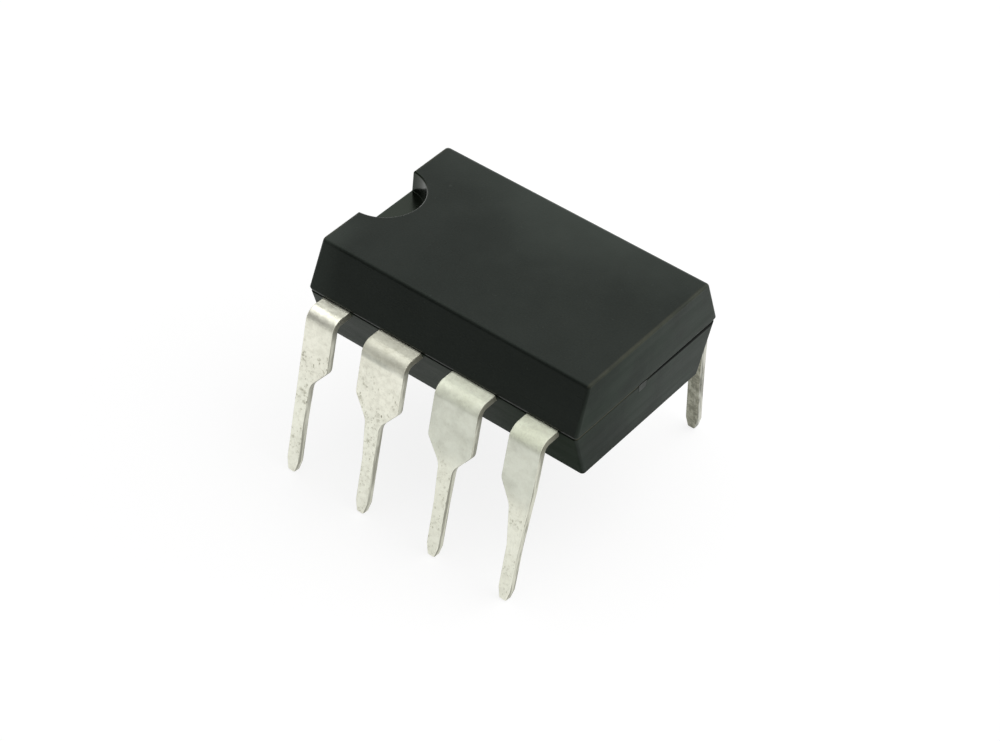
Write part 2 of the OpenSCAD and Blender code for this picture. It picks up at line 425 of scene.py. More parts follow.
    def seam_and_edge_highlights(
        self,
        graph: FinishGraph,
        at: MouldSurface,
        closed: bpy.types.NodeSocket,
        tone: bpy.types.NodeSocket,
    ) -> bpy.types.NodeSocket:
        """Adds warm painted highlights on the closed part of the seam and along the ends' top edges.

        Args:
            graph: The finish's tree.
            at: The point.
            closed: How far the seam is closed there.
            tone: The colour so far.

        Returns:
            The colour with it.
        """
        seam = graph.product(graph.ramp(at.over, -0.02, 0.0), graph.ramp(at.over, 0.06, 0.03), closed)
        tone = graph.mix(seam, tone, self.warm_highlight)
        near_top = graph.ramp(at.over, self.edge_height, self.edge_height + self.edge_blend)
        outwards = graph.math("ABSOLUTE", at.along)
        near_edge = graph.ramp(outwards, self.edge_x, self.edge_x + self.edge_blend)
        paled = graph.ramp(at.cloud, 0.35, 0.6, 0.15 * self.haze_and_sheen_level, 0.42 * self.haze_and_sheen_level)
        return graph.mix(graph.product(near_top, near_edge, paled), tone, self.warm_highlight)

    def material(self, parting: float) -> bpy.types.Material:
        """Builds the finish.

        Args:
            parting: Height of the parting line.

        Returns:
            The material.
        """
        graph = FinishGraph(self.name)
        at = self.surface(graph, parting)
        closed = graph.product(graph.ramp(at.across, 0.6, -1.0, 0.0, self.seam_closed), at.at_end)
        groove_shade = self.groove_shade(graph, at, closed)
        below = graph.product(graph.ramp(at.over, 0.0, -0.03), graph.math("SUBTRACT", 1.0, at.at_end))
        tone = self.lip_highlight_and_corners(graph, at, self.faces(graph, at))
        # Painted shadow: the groove under the lip is painted near black.
        tone = graph.mix(groove_shade, tone, self.groove_shadow)
        tone = self.seam_and_edge_highlights(graph, at, closed, tone)
        # The sides below the parting line are tinted greener and lighter.
        tone = graph.mix(graph.product(below, self.low_tinted * self.haze_and_sheen_level), tone, self.low_tint)
        end_dulled = graph.product(graph.ramp(at.across, -3.2, 1.8, 0.34, 0.17), at.at_end)
        low_dulled = graph.product(graph.ramp(at.along, -0.2, 4.8, 0.12, 0.46), below)
        dulled = graph.product(graph.math("ADD", end_dulled, low_dulled), self.dulling)
        dulled = graph.math("MULTIPLY_ADD", groove_shade, self.groove_dulling, dulled)
        satin = graph.ramp(at.streak, 0.3, 0.7, self.roughness, self.roughness + self.roughness_spread)
        swell = graph.bump(graph.noise(0.8, 1.0), self.swell_depth)
        return graph.shade(
            Base_Color=tone,
            Roughness=graph.math("ADD", satin, dulled),
            Specular_IOR_Level=self.gloss,
            Specular_Tint=rgba(self.tint),
            Normal=graph.bump(at.grain, self.grain_depth, swell),
        )


@dataclass(frozen=True)
class PlateSurface:
    """Where a point of a lead is, and the patterns that its plate reads there."""

    moved: bpy.types.NodeSocket
    along: bpy.types.NodeSocket
    out: bpy.types.NodeSocket
    height: bpy.types.NodeSocket
    drop: bpy.types.NodeSocket
    wash: bpy.types.NodeSocket
    speckle: bpy.types.NodeSocket
    mottle: bpy.types.NodeSocket


@dataclass(frozen=True)
class TinPlate:
    """Dull warm tin plate over a sheared copper alloy strip.

    Drops are measured downwards from the parting line.
    """

    name: str
    tone: Colour = (0.965, 0.96, 0.835)
    smudge: Colour = (0.84, 0.84, 0.725)
    # Painted reflection: the pins are toned towards this, for what they mirror.
    pin_reflection_tone: Colour = (0.965, 0.97, 0.845)
    pit: Colour = (0.42, 0.405, 0.30)
    sheared: Colour = (0.31, 0.305, 0.245)
    burr: Colour = (0.70, 0.70, 0.595)
    # Painted shade: the inner faces, which mirror the shade under the chip.
    inner: Colour = (0.50, 0.50, 0.41)
    inner_shade_mottle: Colour = (0.40, 0.40, 0.325)
    # Painted shade for the crease at the foot of the bend.
    crease_shade: Colour = (0.50, 0.51, 0.44)
    # Painted reflection tone for the top of the bend, set per lead.
    bend_shading_tone: Colour = (0.965, 0.96, 0.835)
    bend_shading_share: float = 0.0
    smudged: float = 0.5
    mottled: float = 0.14
    pitted: float = 0.5
    pits_from: float = 0.6
    pits_blend: float = 0.8
    crease_shading: float = 0.2
    crease_drop: float = 0.36
    roughness: float = 0.34
    roughness_spread: float = 0.1
    pit_roughness: float = 0.25
    wash_depth: float = 0.03
    speckle_depth: float = 0.006
    pit_depth: float = 0.01
    splay: float = 8.0
    strain: float = 0.12
    seed: float = 0.0

    def surface(self, graph: FinishGraph, parting: float) -> PlateSurface:
        """Reads the place and the patterns, which the seed shifts.

        Args:
            graph: The finish's tree.
            parting: Height of the parting line.

        Returns:
            The outputs that the parts of the finish share.
        """
        moved = graph.vector("ADD", {0: graph.place, 1: (self.seed, 2 * self.seed, 0)})
        place = graph.add("ShaderNodeSeparateXYZ", {0: graph.place}).outputs
        return PlateSurface(
            moved=moved,
            along=place[0],
            out=graph.math("ABSOLUTE", place[1]),
            height=place[2],
            drop=graph.math("SUBTRACT", parting, place[2]),
            wash=graph.noise(1.3, 4.0, 0.6, moved),
            speckle=graph.noise(9.0, 3.0, 0.65, moved),
            mottle=graph.noise(5.0, 4.0, 0.7, moved),
        )

    def plated(self, graph: FinishGraph, at: PlateSurface) -> bpy.types.NodeSocket:
        """The colour of the faces, with painted reflection tones on the pins and the bend and painted shade
        on the inner faces, before the pits, the sheared sides and the painted crease shade.

        Args:
            graph: The finish's tree.
            at: The point.

        Returns:
            The colour.
        """
        smudges = graph.product(graph.ramp(at.wash, 0.42, 0.66), self.smudged)
        tone = graph.mix(smudges, self.tone, self.smudge)
        # Painted reflection: pins toned lighter low down, and the top of the bend given its own painted tone.
        tone = graph.mix(graph.ramp(at.drop, 1.7, 2.6, 0.0, 0.95), tone, self.pin_reflection_tone)
        tone = graph.mix(graph.ramp(at.drop, 0.40, 0.15, 0.0, self.bend_shading_share), tone, self.bend_shading_tone)
        tone = graph.mix(graph.ramp(at.mottle, 0.40, 0.68, 0.0, self.mottled), tone, self.pit)
        # Painted shade: inner faces darker and mottled, as they mirror the shade under the chip.
        inside = graph.add("ShaderNodeAttribute", attribute_name="inner").outputs["Fac"]
        shaded_inside = graph.mix(graph.ramp(at.mottle, 0.42, 0.60), self.inner, self.inner_shade_mottle)
        tone = graph.mix(inside, tone, shaded_inside)
        scratch = graph.noise(1.0, 3.0, 0.6, graph.stretched((13, 13, 1.1), at.moved, 0.25))
        return graph.mix(graph.ramp(scratch, 0.52, 0.75, 0.0, 0.3), tone, self.smudge)

    @staticmethod
    def pits(graph: FinishGraph, place: bpy.types.NodeSocket) -> bpy.types.NodeSocket:
        """Small pits drawn out along the leg, one in some of the cells of a loose grid.

        Args:
            graph: The finish's tree.
            place: Where the grid is read.

        Returns:
            How deep in a pit a point is, from 0 to 1.
        """
        drawn_out = graph.vector("MULTIPLY", {0: place, 1: (1.2, 1.2, 0.6)})
        inputs = {"Vector": drawn_out, "Scale": 8.5, "Randomness": 1.0}
        cells = graph.add("ShaderNodeTexVoronoi", inputs).outputs
        chance = graph.add("ShaderNodeSeparateXYZ", {0: cells["Color"]}).outputs[0]
        size = graph.ramp(chance, 0.15, 1.0, 0.07, 0.29)
        near = graph.math("SUBTRACT", size, cells["Distance"])
        return graph.product(graph.ramp(near, -0.05, 0.12), graph.ramp(chance, 0.1, 0.3))

    def marks(self, graph: FinishGraph, at: PlateSurface) -> bpy.types.NodeSocket:
        """How pitted or speckled a point is, which is more low down and in patches.

        Args:
            graph: The finish's tree.
            at: The point.

        Returns:
            The share, from 0 to how pitted the lead is.
        """
        low_down = graph.ramp(at.drop, self.pits_from, self.pits_from + self.pits_blend, 0.2, 1.0)
        in_patches = graph.product(low_down, graph.ramp(at.wash, 0.44, 0.56, 0.25, 1.0))
        specks = graph.product(graph.ramp(at.speckle, 0.53, 0.68, 0.0, 0.65), in_patches)
        holes = graph.product(self.pits(graph, at.moved), in_patches)
        return graph.product(graph.math("MAXIMUM", specks, holes), self.pitted)

    def sheared_side(
        self, graph: FinishGraph, at: PlateSurface, tone: bpy.types.NodeSocket
    ) -> bpy.types.NodeSocket:
        """Adds the stamped sides, torn into lines that follow the leg below the bend.

        Args:
            graph: The finish's tree.
            at: The point.
            tone: The colour so far.

        Returns:
            The colour with them.
        """
        splay = math.tan(math.radians(self.splay))
        lines = graph.add("ShaderNodeCombineXYZ", {
            0: graph.math("MULTIPLY_ADD", at.along, 5.0, self.seed),
            1: graph.product(graph.math("MULTIPLY_ADD", at.height, splay, at.out), 9.0),
            2: graph.product(at.height, 0.7),
        }).outputs[0]
        torn = graph.ramp(graph.noise(1.0, 3.0, 0.6, lines), 0.42, 0.58)
        torn = graph.product(torn, graph.ramp(at.drop, 0.3, 0.8))
        side = graph.add("ShaderNodeAttribute", attribute_name="sheared").outputs["Fac"]
        return graph.mix(graph.product(side, 0.9), tone, graph.mix(torn, self.sheared, self.burr))

    def shaded_crease(
        self, graph: FinishGraph, at: PlateSurface, tone: bpy.types.NodeSocket
    ) -> bpy.types.NodeSocket:
        """Adds painted shade in the crease at the foot of the bend, standing in for the dark reflection
        there.

        Args:
            graph: The finish's tree.
            at: The point.
            tone: The colour so far.

        Returns:
            The colour with it.
        """
        away = graph.math("ABSOLUTE", graph.math("SUBTRACT", at.drop, self.crease_drop))
        crease_shadow = graph.product(graph.ramp(away, 0.13, 0.02), graph.ramp(at.wash, 0.35, 0.6, 0.4, 1.0))
        return graph.mix(graph.product(crease_shadow, self.crease_shading), tone, self.crease_shade)

    def material(self, parting: float) -> bpy.types.Material:
        """Builds the finish.

        Args:
            parting: Height of the parting line.

        Returns:
            The material.
        """
        graph = FinishGraph(self.name)
        at = self.surface(graph, parting)
        marks = self.marks(graph, at)
        tone = graph.mix(marks, self.plated(graph, at), self.pit)
        tone = self.shaded_crease(graph, at, self.sheared_side(graph, at, tone))
        strained = graph.ramp(at.drop, 0.45, 0.2, 0.0, self.strain)
        satin = graph.ramp(at.wash, 0.3, 0.7, self.roughness, self.roughness + self.roughness_spread)
        rough = graph.math("ADD", strained, satin)
        rolled = graph.bump(at.wash, self.wash_depth)
        grained = graph.bump(at.speckle, self.speckle_depth, rolled)
        return graph.shade(
            Base_Color=tone,
            Metallic=1.0,
            Roughness=graph.math("MULTIPLY_ADD", marks, self.pit_roughness, rough),
            Normal=graph.bump(graph.math("SUBTRACT", 1.0, marks), self.pit_depth, grained),
        )


@dataclass(frozen=True)
class HiddenFinish:
    """A finish of one of the pieces inside the moulding."""

    slot: str
    tone: Colour
    shade_tone: Colour
    metallic: float
    roughness: float
    grain: float
    depth: float
    cut_end: Colour | None = None
    cut_from: float = 4.3

    def material(self) -> bpy.types.Material:
        """Builds the finish, with a dull cut end where the piece has one.

        Returns:
            The material.
        """
        graph = FinishGraph(self.slot)
        grain = graph.noise(self.grain, 4.0, 0.6)
        tone = graph.mix(graph.ramp(grain, 0.35, 0.65), self.tone, self.shade_tone)
        if self.cut_end:
            outwards = graph.add("ShaderNodeSeparateXYZ", {0: graph.place}).outputs[0]
            near_end = graph.ramp(graph.math("ABSOLUTE", outwards), self.cut_from, self.cut_from + 0.1)
            tone = graph.mix(near_end, tone, self.cut_end)
        return graph.shade(
            Base_Color=tone,
            Metallic=self.metallic,
            Roughness=graph.ramp(grain, 0.3, 0.7, self.roughness, self.roughness + 0.12),
            Normal=graph.bump(grain, self.depth),
        )


def rounded_corner(before: Point, corner: Point, after: Point, radius: float, steps: int) -> list[Point]:
    """The arc that rounds one corner of an outline.

    Args:
        before: The outline's point before the corner.
        corner: The corner.
        after: The outline's point after it.
        radius: The arc's radius, 0 for a sharp corner.
        steps: Straight pieces in the arc.

    Returns:
        The arc's points, or the corner alone.
    """
    if radius <= 0:
        return [corner]
    middle = Vector(corner)
    back = (Vector(before) - middle).normalized()
    ahead = (Vector(after) - middle).normalized()
    half = back.angle(ahead) / 2
    centre = middle + (back + ahead).normalized() * radius / math.sin(half)
    start = middle + back * radius / math.tan(half) - centre
    turning = 1 if start.x * (middle - centre).y - start.y * (middle - centre).x > 0 else -1
    points = []
    for step in range(steps + 1):
        angle = turning * (math.pi - 2 * half) * step / steps
        points.append((
            centre.x + start.x * math.cos(angle) - start.y * math.sin(angle),
            centre.y + start.x * math.sin(angle) + start.y * math.cos(angle),
        ))
    return points


def rounded_outline(entries: list[tuple[Point, float]], steps: int) -> list[Point]:
    """An outline with each corner rounded to its own radius.

    Args:
        entries: Each corner with its radius, in order round the outline.
        steps: Straight pieces in each arc.

    Returns:
        The outline's points.
    """
    points = []
    for number, (corner, radius) in enumerate(entries):
        before = entries[number - 1][0]
        after = entries[(number + 1) % len(entries)][0]
        points += rounded_corner(before, corner, after, radius, steps)
    return points


def mesh_from(bm: bmesh.types.BMesh, name: str) -> bpy.types.Object:
    """Turns a bmesh into an object in the scene.

    Args:
        bm: The mesh, which is freed.
        name: The object's name.

    Returns:
        The new object.
    """
    mesh = bpy.data.meshes.new(name)
    bm.to_mesh(mesh)
    bm.free()
    obj = bpy.data.objects.new(name, mesh)
    bpy.context.scene.collection.objects.link(obj)
    return obj


def settle(obj: bpy.types.Object) -> None:
    """Applies an object's modifiers, so that it becomes a plain mesh."""
    depsgraph = bpy.context.evaluated_depsgraph_get()
    result = bpy.data.meshes.new_from_object(obj.evaluated_get(depsgraph), depsgraph=depsgraph)
    obj.modifiers.clear()
    old = obj.data
    obj.data = result
    bpy.data.meshes.remove(old)


def remove(obj: bpy.types.Object) -> None:
    """Deletes a helper object with its mesh."""
    mesh = obj.data
    bpy.data.objects.remove(obj)
    bpy.data.meshes.remove(mesh)


def soften(obj: bpy.types.Object, width: float, segments: int, angle: float) -> None:
    """Rounds an object's sharp edges and gives it smooth, face-weighted normals.

    Args:
        obj: A closed mesh in millimetres.
        width: Width of the rounding.
        segments: Faces across it.
        angle: Edges sharper than this many degrees are rounded.
    """
    bevel = obj.modifiers.new("edges", "BEVEL")
    bevel.width = width
    bevel.segments = segments
    bevel.limit_method = "ANGLE"
    bevel.angle_limit = math.radians(angle)
    bevel.use_clamp_overlap = False
    bevel.miter_outer = "MITER_ARC"
    settle(obj)
    for polygon in obj.data.polygons:
        polygon.use_smooth = True
    obj.data.set_sharp_from_angle(angle=math.radians(50))
    weighted = obj.modifiers.new("normals", "WEIGHTED_NORMAL")
    weighted.keep_sharp = True
    weighted.weight = 80
    settle(obj)


def outward(obj: bpy.types.Object) -> None:
    """Merges an object's doubles and turns all its faces outwards."""
    bm = bmesh.new()
    bm.from_mesh(obj.data)
    bmesh.ops.remove_doubles(bm, verts=bm.verts, dist=0.0005)
    bmesh.ops.recalc_face_normals(bm, faces=bm.faces)
    bm.to_mesh(obj.data)
    bm.free()


def place_piece(
    obj: bpy.types.Object, nodes: tuple[str, ...] = ()
) -> bpy.types.Object:
    """Brings a finished piece to metres and hands it to the frame.

    Args:
        obj: The piece, in millimetres.
        nodes: The CAD nodes that it stands for.

    Returns:
        The piece.
    """
    obj.data.transform(Matrix.Scale(MM, 4))
    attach(obj, BODY)
    if nodes:
        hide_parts(*nodes)
    return obj


@dataclass
class MouldedPackage:
    """The black moulding, drafted from its parting line, with the notch and the ejector marks."""

    finish: MouldingCompound
    polished: MouldingCompound
    parting: float
    side_draft_top: float = 0.5
    side_draft_bottom: float = 0.54
    end_draft_top: float = 0.07
    end_draft_bottom: float = 0.03
    parting_step: float = 0.03
    groove_drop: float = 0.012
    lip_height: float = 0.11
    lip_bevel: float = 0.05
    side_edge_radius: float = 0.16
    end_edge_radius: float = 0.07
    underside_edge_radius: float = 0.06
    corner_radius: float = 0.1
    arc_steps: int = 7
    notch_radius: float = 1.22
    notch_depth: float = 0.71
    notch_draft: float = 0.04
    notch_rim: float = 0.04
    mark_radius: float = 0.6
    mark_depth: float = 0.05
    mark_spacing: float = 5.2
    bar_width: float = 0.36
    bar_offset: float = 0.2
    bar_thickness: float = 0.25
    bar_window: float = 0.15
    low: Vector = field(default_factory=lambda: box_mm("package_body")[0])
    high: Vector = field(default_factory=lambda: box_mm("package_body")[1])

    def upper_side(self, draft: float, radius: float) -> list[Point]:
        """How far in each height of the upper half stands, from its foot to the top face.

        Args:
            draft: How far the side leans in.
            radius: Radius of its top edge.

        Returns:
            Points of height over the parting line and inset.
        """
        top = self.high.z - self.parting
        arc = rounded_corner((self.lip_height, 0), (top, draft), (top, draft + 1), radius, self.arc_steps)
        return [(0.0, self.lip_bevel), (self.lip_height, 0.0), *arc]

    def lower_side(self, draft: float) -> list[Point]:
        """How far in each height of the lower half stands, from its foot down to the underside."""
        bottom = self.low.z - self.parting
        step = self.parting_step
        arc = rounded_corner(
            (0.0, step), (bottom, step + draft), (bottom, step + draft + 1),
            self.underside_edge_radius, self.arc_steps,
        )
        return [(-self.groove_drop, step), *arc]

    @staticmethod
    def inset_at(side: list[Point], height: float) -> float:
        """The inset of a side at one height, between its points."""
        for (from_z, from_inset), (to_z, to_inset) in zip(side, side[1:]):
            if min(from_z, to_z) - 1e-9 <= height <= max(from_z, to_z) + 1e-9 and from_z != to_z:
                share = (height - from_z) / (to_z - from_z)
                return from_inset + share * (to_inset - from_inset)
        return side[-1][1]

    def ring(self, height: float, end_inset: float, side_inset: float) -> list[Vector]:
        """One level of the moulding, a rectangle with rounded corners."""
        half_length = (self.high.x - self.low.x) / 2 - end_inset
        half_width = (self.high.y - self.low.y) / 2 - side_inset
        corners = [
            (half_length, half_width), (-half_length, half_width),
            (-half_length, -half_width), (half_length, -half_width),
        ]
        outline = rounded_outline([(corner, self.corner_radius) for corner in corners], 4)
        middle = (self.low + self.high) / 2
        return [Vector((middle.x + x, middle.y + y, self.parting + height)) for x, y in outline]

    def levels(self) -> list[list[Vector]]:
        """All levels of the moulding, from the underside up."""
        rings = []
        lower = (self.lower_side(self.end_draft_bottom), self.lower_side(self.side_draft_bottom))
        upper = (
            self.upper_side(self.end_draft_top, self.end_edge_radius),
            self.upper_side(self.side_draft_top, self.side_edge_radius),
        )
        for end, side in (lower, upper):
            heights = sorted({round(point[0], 6) for point in end + side})
            for height in heights:
                last = abs(height - end[-1][0]) < 1e-6
                end_inset = end[-1][1] if last else self.inset_at(end, height)
                side_inset = side[-1][1] if last else self.inset_at(side, height)
                rings.append(self.ring(height, end_inset, side_inset))
        return rings

    def shell(self) -> bpy.types.Object:
        """The moulding before anything is cut out of it."""
        bm = bmesh.new()
        loops = [[bm.verts.new(point) for point in ring] for ring in self.levels()]
        for lower, upper in zip(loops, loops[1:]):
            for number in range(len(lower)):
                after = (number + 1) % len(lower)
                bm.faces.new((lower[number], lower[after], upper[after], upper[number]))
        bm.faces.new(reversed(loops[0]))
        bm.faces.new(loops[-1])
        bmesh.ops.recalc_face_normals(bm, faces=bm.faces)
        return mesh_from(bm, "package_moulding")

    def turned(self, name: str, profile: list[Point], centre: Vector, steps: int) -> bpy.types.Object:
        """A solid turned about an upright line, as a cutter.

        Args:
            name: The cutter's name.
            profile: Radius and height of each point, from the foot up.
            centre: Where the line meets height 0.
            steps: Faces round the solid.

        Returns:
            The cutter.
        """
        bm = bmesh.new()
        loops = []
        for radius, height in profile:
            loops.append([
                bm.verts.new(centre + Vector((
                    radius * math.cos(2 * math.pi * step / steps),
                    radius * math.sin(2 * math.pi * step / steps),
                    height,
                )))
                for step in range(steps)
            ])
        for lower, upper in zip(loops, loops[1:]):
            for number in range(steps):
                after = (number + 1) % steps
                bm.faces.new((lower[number], lower[after], upper[after], upper[number]))
        bm.faces.new(reversed(loops[0]))
        bm.faces.new(loops[-1])
        bmesh.ops.recalc_face_normals(bm, faces=bm.faces)
        return mesh_from(bm, name)

    def cutters(self) -> list[bpy.types.Object]:
        """What is cut out of the moulding: the notch, two ejector marks and the tie bars' windows."""
        middle = (self.low + self.high) / 2
        top, floor = self.high.z, self.high.z - self.notch_depth
        foot_radius = self.notch_radius - self.notch_draft
        rim_foot = self.notch_radius - self.notch_rim
        overshoot = 0.2
        profile = [
            (foot_radius, floor),
            (rim_foot + 0.001, top - self.notch_rim),
            (rim_foot + overshoot, top + overshoot - self.notch_rim),
        ]
        notch = self.turned("notch_cutter", profile, Vector((self.low.x, middle.y, 0)), 128)
        notch.data.materials.append(self.polished.material(self.parting))
        found = [notch]
        for side in (-1, 1):
            centre = Vector((middle.x + side * self.mark_spacing / 2, middle.y, self.low.z))
            mark = [(self.mark_radius, -1.0), (self.mark_radius, self.mark_depth)]
            found.append(self.turned("mark_cutter", mark, centre, 64))
            found.append(self.bar_cutter(side))
        return found

    def bar_cutter(self, side: int) -> bpy.types.Object:
        """The window in one end through which a tie bar's cut end shows.

        Args:
            side: 1 for the end at +X, -1 for the other.

        Returns:
            The cutter.
        """
        bm = bmesh.new()
        bmesh.ops.create_cube(bm, size=1.0)
        size = Vector((2 * self.bar_window, self.bar_width, self.bar_thickness))
        middle_y = (self.low.y + self.high.y) / 2 - self.bar_offset
        middle = Vector((side * self.high.x, middle_y, self.parting - self.bar_thickness / 2))
        bm.transform(Matrix.Translation(middle) @ Matrix.Diagonal((*size, 1.0)))
        return mesh_from(bm, "bar_cutter")

    def build(self) -> bpy.types.Object:
        """Cuts, softens and dresses the moulding."""
        body = self.shell()
        body.data.materials.append(self.finish.material(self.parting))
        cutters = self.cutters()
        for cutter in cutters:
            cut = body.modifiers.new(cutter.name, "BOOLEAN")
            cut.operation = "DIFFERENCE"
            cut.solver = "EXACT"
            cut.material_mode = "TRANSFER" if cutter.data.materials else "INDEX"
            cut.object = cutter
        settle(body)
        for cutter in cutters:
            remove(cutter)
        soften(body, 0.018, 3, 28)
        return place_piece(body, ("package_body",))


class LeadForm(Enum):
    """The two outlines that the frame is stamped with."""

    INNER = "inner"
    END = "end"


@dataclass
class LeadFrame:
    """The eight leads, stamped flat and then formed."""

    parting: float
    half_width: float
    finishes: dict[int, TinPlate]
    pitch: float = 2.54
    standoff: float = 0.315
    thickness: float = 0.25
    bend_radius: float = 0.15
    splay: float = 8.0
    shoulder_width: float = 1.5
    end_shoulder_width: float = 0.98
    shoulder_drop: float = 1.7
    pin_drop: float = 2.4
    pin_width: float = 0.42
    tip_width: float = 0.24
    tip_taper: float = 0.38
    shoulder_corner: float = 0.3
    pin_root: float = 0.6
    frame_shift: float = -0.1
    root_y: float = 2.44
    finger_tip_y: float = 1.5
    finger_width: float = 0.8
    end_finger_width: float = 0.6
    branch_tip_x: float = 1.95
    branch_y: float = 1.25
    bend_steps: int = 14
    edge_rounding: float = 0.045
    leans: tuple[float, ...] = (-0.024, -0.020, -0.014, -0.018, -0.022, 0.006, -0.008, 0.01)
    splay_changes: tuple[float, ...] = (0.0, 0.0, 0.0, 0.0, -0.9, -0.2, -0.4, -0.1)
    flares: tuple[tuple[float, float], ...] = (
        (0.0, 0.03), (0.10, 0.0), (0.06, 0.03), (0.17, 0.055),
        (0.02, 0.02), (0.04, 0.03), (0.02, 0.05), (0.0, 0.04),
    )
    flare_length: float = 1.3

    def __post_init__(self) -> None:
        """Works out the lengths that follow from the sizes."""
        self.bend_y = self.half_width + self.standoff
        self.outer_radius = self.bend_radius + self.thickness
        self.bend_angle = math.radians(90 - self.splay)
        self.bend_length = (self.bend_radius + self.thickness / 2) * self.bend_angle

    def reach(self, drop: float, radius: float) -> float:
        """Distance along the strip, from where the bend starts, to a drop under the parting line.

        Args:
            drop: The drop in millimetres.
            radius: Radius, from the middle of the bend, of the layer that has that drop.

        Returns:
            The distance.
        """
        lean = math.radians(self.splay)
        leg = (drop - self.outer_radius + radius * math.sin(lean)) / math.cos(lean)
        return self.bend_length + leg

    def pin_side(self, shoulder: float, flare: float) -> list[tuple[Point, float]]:
        """Half of a leg's outline from the shoulder to the tip, measured from the pin's middle line.

        Args:
            shoulder: Half width of the shoulder.
            flare: How much wider than its nominal size the pin starts on this side.

        Returns:
            Each corner with its radius.
        """
        middle = self.bend_radius + self.thickness / 2
        tip = self.reach(self.parting, self.bend_radius)
        half = self.pin_width / 2
        return [
            ((shoulder, self.reach(self.shoulder_drop, middle)), self.shoulder_corner),
            ((half + flare, self.reach(self.pin_drop, middle)), self.pin_root),
            ((half, self.reach(self.pin_drop + self.flare_length, middle)), 0),
            ((half, tip - self.tip_taper), 0),
            ((self.tip_width / 2, tip), 0),
        ]

    def straight_side(self, flare: float) -> list[tuple[Point, float]]:
        """The nearly straight outer side of an end lead, from its shoulder's foot to the tip."""
        middle = self.bend_radius + self.thickness / 2
        tip = self.reach(self.parting, self.bend_radius)
        half = self.pin_width / 2
        return [
            ((half + 1.6 * flare, self.reach(self.shoulder_drop, middle)), 0),
            ((half + flare, self.reach(self.pin_drop, middle)), 0),
            ((half, self.reach(self.pin_drop + self.flare_length, middle)), 0),
            ((half, tip - self.tip_taper), 0),
            ((self.tip_width / 2, tip), 0),
        ]

    def outline(self, form: LeadForm, flares: tuple[float, float]) -> list[Point]:
        """A lead's flat outline.

        Args:
            form: Which of the two outlines.
            flares: How much wider the pin starts on its left and on its right.

        Returns:
            Points of place across, from the pin's middle line, and distance along the strip.
        """
        root = self.root_y - self.bend_y
        if form is LeadForm.INNER:
            half = self.shoulder_width / 2
            finger = self.finger_width / 2
            tip = self.finger_tip_y - self.bend_y
            inside = [((half, root), 0), ((finger, root), 0), ((finger, tip), 0)]
            right = inside[::-1] + self.pin_side(half, flares[1])
            left = inside[::-1] + self.pin_side(half, flares[0])
            return rounded_outline(right + [((-x, s), radius) for (x, s), radius in reversed(left)], 6)
        pin_x = -self.pitch * (ROW_LEADS - 1) / 2
        shoulder = self.end_shoulder_width - self.pin_width / 2
        finger = shoulder - self.end_finger_width
        branch_end = -self.branch_tip_x - pin_x
        branch_near = self.branch_y - self.bend_y
        branch_far = branch_near + self.end_finger_width
        near_side = [((-x, s), radius) for (x, s), radius in reversed(self.straight_side(flares[0]))]
        entries = [
            ((-self.pin_width / 2 - 1.6 * flares[0], root), 0),
            ((finger, root), 0),
            ((finger, branch_near), 0),
            ((branch_end, branch_near), 0),
            ((branch_end, branch_near + self.end_finger_width), 0),
            ((shoulder, branch_far), 0),
            *self.pin_side(shoulder, flares[1]),
            *near_side,
        ]
        return rounded_outline(entries, 6)

    def blank(self, form: LeadForm, flares: tuple[float, float]) -> bpy.types.Object:
        """The flat stamping as one sheet of faces, cut across where it will bend."""
        bm = bmesh.new()
        verts = [bm.verts.new((x, s, 0)) for x, s in self.outline(form, flares)]
        bm.faces.new(verts)
        cuts = [self.bend_length * step / self.bend_steps for step in range(self.bend_steps + 1)]
        for place in [*cuts, self.root_y - self.bend_y + 0.001]:
            bmesh.ops.bisect_plane(
                bm, geom=bm.verts[:] + bm.edges[:] + bm.faces[:], plane_co=(0, place, 0), plane_no=(0, 1, 0)
            )
        bmesh.ops.recalc_face_normals(bm, faces=bm.faces)
        if bm.faces[:][0].normal.z < 0:
            bmesh.ops.reverse_faces(bm, faces=bm.faces)
        return mesh_from(bm, "blank_" + form.value)

    def former(self) -> bpy.types.NodeTree:
        """The Geometry Nodes tree that gives a blank its thickness and bends it to shape."""
        tree = bpy.data.node_groups.new("lead_former", "GeometryNodeTree")
        graph = Graph(tree)
        tree.interface.new_socket("Geometry", in_out="INPUT", socket_type="NodeSocketGeometry")
        sizes = ("Thickness", "Outer radius", "Bend start", "Bend angle", "Bend length", "Parting")
        for name in (*sizes, "Row", "Side", "Place", "Lean"):
            tree.interface.new_socket(name, in_out="INPUT", socket_type="NodeSocketFloat")
        tree.interface.new_socket("Finish", in_out="INPUT", socket_type="NodeSocketMaterial")
        tree.interface.new_socket("Geometry", in_out="OUTPUT", socket_type="NodeSocketGeometry")
        given = graph.add("NodeGroupInput").outputs
        thick = graph.add("GeometryNodeExtrudeMesh", {
            "Mesh": given["Geometry"],
            "Offset Scale": graph.math("MULTIPLY", given["Thickness"], -1.0),
            "Individual": False,
        })
        marked = graph.add("GeometryNodeStoreNamedAttribute", {
            "Geometry": thick.outputs["Mesh"],
            "Selection": thick.outputs["Side"],
            "Name": "sheared",
            "Value": 1.0,
        }, data_type="FLOAT", domain="FACE")
        inner = graph.add("GeometryNodeStoreNamedAttribute", {
            "Geometry": marked.outputs[0],
            "Selection": thick.outputs["Top"],
            "Name": "inner",
            "Value": 1.0,
        }, data_type="FLOAT", domain="FACE")
        both = graph.add("GeometryNodeJoinGeometry")
        for source in (inner.outputs[0], given["Geometry"]):
            tree.links.new(source, both.inputs[0])
        closed = graph.add("GeometryNodeMergeByDistance", {"Geometry": both.outputs[0], "Distance": 0.0005})
        flat = graph.add(
            "ShaderNodeSeparateXYZ", {0: graph.add("GeometryNodeInputPosition").outputs[0]}
        ).outputs
